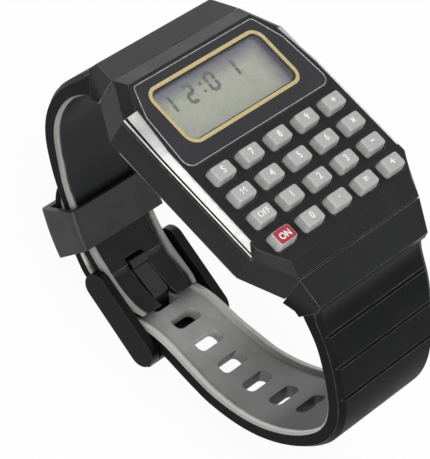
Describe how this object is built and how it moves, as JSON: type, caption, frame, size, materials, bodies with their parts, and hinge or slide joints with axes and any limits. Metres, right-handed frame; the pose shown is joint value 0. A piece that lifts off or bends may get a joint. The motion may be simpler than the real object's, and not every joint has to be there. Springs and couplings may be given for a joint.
{
  "type": "calculator watch",
  "caption": "Calculator wristwatch with a keypad of sprung keys, a display window and a tapering slotted strap, closed by a pin buckle and a sliding loop.",
  "frame": {"origin": "middle of the flat back cover", "axes": "+X to 3 o'clock, +Y to 12 o'clock, +Z out of the display"},
  "size_m": [0.0342, 0.0621, 0.046],
  "materials": {
    "case": "fine-grained charcoal moulding",
    "steel_back": "brushed",
    "steel": "plain steel",
    "rubber": "soft rubber",
    "silver": "brushed along its length",
    "gloss_black": "polished black",
    "crystal": "clear",
    "gold": "satin gold line",
    "display": "grey-green display",
    "inner_plastic": "plain moulding",
    "board": "green board",
    "resin_drop": "black resin",
    "contact": "sprung strip",
    "strap": "smooth black resin",
    "buckle": "black satin",
    "key_grey": "grained light grey paint",
    "key_red": "red paint"
  },
  "bodies": {
    "watch": {"case_top": "case", "case_back": "steel_back", "back_screws": "steel", "back_gasket": "rubber", "side_trim_left": "silver", "side_trim_right": "silver", "display_plate": "gloss_black", "window_crystal": "crystal", "window_frame_line": "gold", "lcd_panel": "display", "zebra_strips": "rubber", "module_frame": "inner_plastic", "keypad_sheet": "rubber", "circuit_board": "board", "chip_blob": "resin_drop", "crystal_can": "steel", "battery": "steel", "battery_holder": "inner_plastic", "battery_contact_minus": "contact", "battery_contact_plus": "contact", "strap_upper": "strap", "strap_lower": "strap", "spring_bar_upper": "steel", "spring_bar_lower": "steel", "buckle_bar": "steel"},
    "buckle": {"buckle_frame": "buckle"},
    "tongue": {"buckle_tongue": "buckle"},
    "keeper": {"keeper_loop": "strap"},
    "key_s": {"key_s": "key_grey"},
    "key_7": {"key_7": "key_grey"},
    "key_8": {"key_8": "key_grey"},
    "key_9": {"key_9": "key_grey"},
    "key_divide": {"key_divide": "key_grey"},
    "key_m": {"key_m": "key_grey"},
    "key_4": {"key_4": "key_grey"},
    "key_5": {"key_5": "key_grey"},
    "key_6": {"key_6": "key_grey"},
    "key_multiply": {"key_multiply": "key_grey"},
    "key_off": {"key_off": "key_grey"},
    "key_1": {"key_1": "key_grey"},
    "key_2": {"key_2": "key_grey"},
    "key_3": {"key_3": "key_grey"},
    "key_minus": {"key_minus": "key_grey"},
    "key_on": {"key_on": "key_red"},
    "key_0": {"key_0": "key_grey"},
    "key_point": {"key_point": "key_grey"},
    "key_equals": {"key_equals": "key_grey"},
    "key_plus": {"key_plus": "key_grey"}
  },
  "joints": [
    {"name": "key_s_press", "type": "slide", "parent": "watch", "child": "key_s", "axis": [0, 0, -1], "range_m": [0, 0.0004], "stiffness_N_per_m": 300, "springref_m": -0.0005},
    {"name": "key_7_press", "type": "slide", "parent": "watch", "child": "key_7", "axis": [0, 0, -1], "range_m": [0, 0.0004], "stiffness_N_per_m": 300, "springref_m": -0.0005},
    {"name": "key_8_press", "type": "slide", "parent": "watch", "child": "key_8", "axis": [0, 0, -1], "range_m": [0, 0.0004], "stiffness_N_per_m": 300, "springref_m": -0.0005},
    {"name": "key_9_press", "type": "slide", "parent": "watch", "child": "key_9", "axis": [0, 0, -1], "range_m": [0, 0.0004], "stiffness_N_per_m": 300, "springref_m": -0.0005},
    {"name": "key_divide_press", "type": "slide", "parent": "watch", "child": "key_divide", "axis": [0, 0, -1], "range_m": [0, 0.0004], "stiffness_N_per_m": 300, "springref_m": -0.0005},
    {"name": "key_m_press", "type": "slide", "parent": "watch", "child": "key_m", "axis": [0, 0, -1], "range_m": [0, 0.0004], "stiffness_N_per_m": 300, "springref_m": -0.0005},
    {"name": "key_4_press", "type": "slide", "parent": "watch", "child": "key_4", "axis": [0, 0, -1], "range_m": [0, 0.0004], "stiffness_N_per_m": 300, "springref_m": -0.0005},
    {"name": "key_5_press", "type": "slide", "parent": "watch", "child": "key_5", "axis": [0, 0, -1], "range_m": [0, 0.0004], "stiffness_N_per_m": 300, "springref_m": -0.0005},
    {"name": "key_6_press", "type": "slide", "parent": "watch", "child": "key_6", "axis": [0, 0, -1], "range_m": [0, 0.0004], "stiffness_N_per_m": 300, "springref_m": -0.0005},
    {"name": "key_multiply_press", "type": "slide", "parent": "watch", "child": "key_multiply", "axis": [0, 0, -1], "range_m": [0, 0.0004], "stiffness_N_per_m": 300, "springref_m": -0.0005},
    {"name": "key_off_press", "type": "slide", "parent": "watch", "child": "key_off", "axis": [0, 0, -1], "range_m": [0, 0.0004], "stiffness_N_per_m": 300, "springref_m": -0.0005},
    {"name": "key_1_press", "type": "slide", "parent": "watch", "child": "key_1", "axis": [0, 0, -1], "range_m": [0, 0.0004], "stiffness_N_per_m": 300, "springref_m": -0.0005},
    {"name": "key_2_press", "type": "slide", "parent": "watch", "child": "key_2", "axis": [0, 0, -1], "range_m": [0, 0.0004], "stiffness_N_per_m": 300, "springref_m": -0.0005},
    {"name": "key_3_press", "type": "slide", "parent": "watch", "child": "key_3", "axis": [0, 0, -1], "range_m": [0, 0.0004], "stiffness_N_per_m": 300, "springref_m": -0.0005},
    {"name": "key_minus_press", "type": "slide", "parent": "watch", "child": "key_minus", "axis": [0, 0, -1], "range_m": [0, 0.0004], "stiffness_N_per_m": 300, "springref_m": -0.0005},
    {"name": "key_on_press", "type": "slide", "parent": "watch", "child": "key_on", "axis": [0, 0, -1], "range_m": [0, 0.0004], "stiffness_N_per_m": 300, "springref_m": -0.0005},
    {"name": "key_0_press", "type": "slide", "parent": "watch", "child": "key_0", "axis": [0, 0, -1], "range_m": [0, 0.0004], "stiffness_N_per_m": 300, "springref_m": -0.0005},
    {"name": "key_point_press", "type": "slide", "parent": "watch", "child": "key_point", "axis": [0, 0, -1], "range_m": [0, 0.0004], "stiffness_N_per_m": 300, "springref_m": -0.0005},
    {"name": "key_equals_press", "type": "slide", "parent": "watch", "child": "key_equals", "axis": [0, 0, -1], "range_m": [0, 0.0004], "stiffness_N_per_m": 300, "springref_m": -0.0005},
    {"name": "key_plus_press", "type": "slide", "parent": "watch", "child": "key_plus", "axis": [0, 0, -1], "range_m": [0, 0.0004], "stiffness_N_per_m": 300, "springref_m": -0.0005},
    {"name": "buckle_swing", "type": "hinge", "parent": "watch", "child": "buckle", "pos_m": [0, 0.00629, -0.03151], "axis": [1, 0, 0], "range_deg": [0, 2.5]},
    {"name": "tongue_lift", "type": "hinge", "parent": "buckle", "child": "tongue", "pos_m": [0, 0.00629, -0.03151], "axis": [1, 0, 0], "range_deg": [0, 1.5]},
    {"name": "keeper_slip", "type": "hinge", "parent": "watch", "child": "keeper", "pos_m": [0, -0.00033, -0.00746], "axis": [1, 0, 0], "range_deg": [-6.5, 1]}
  ]
}
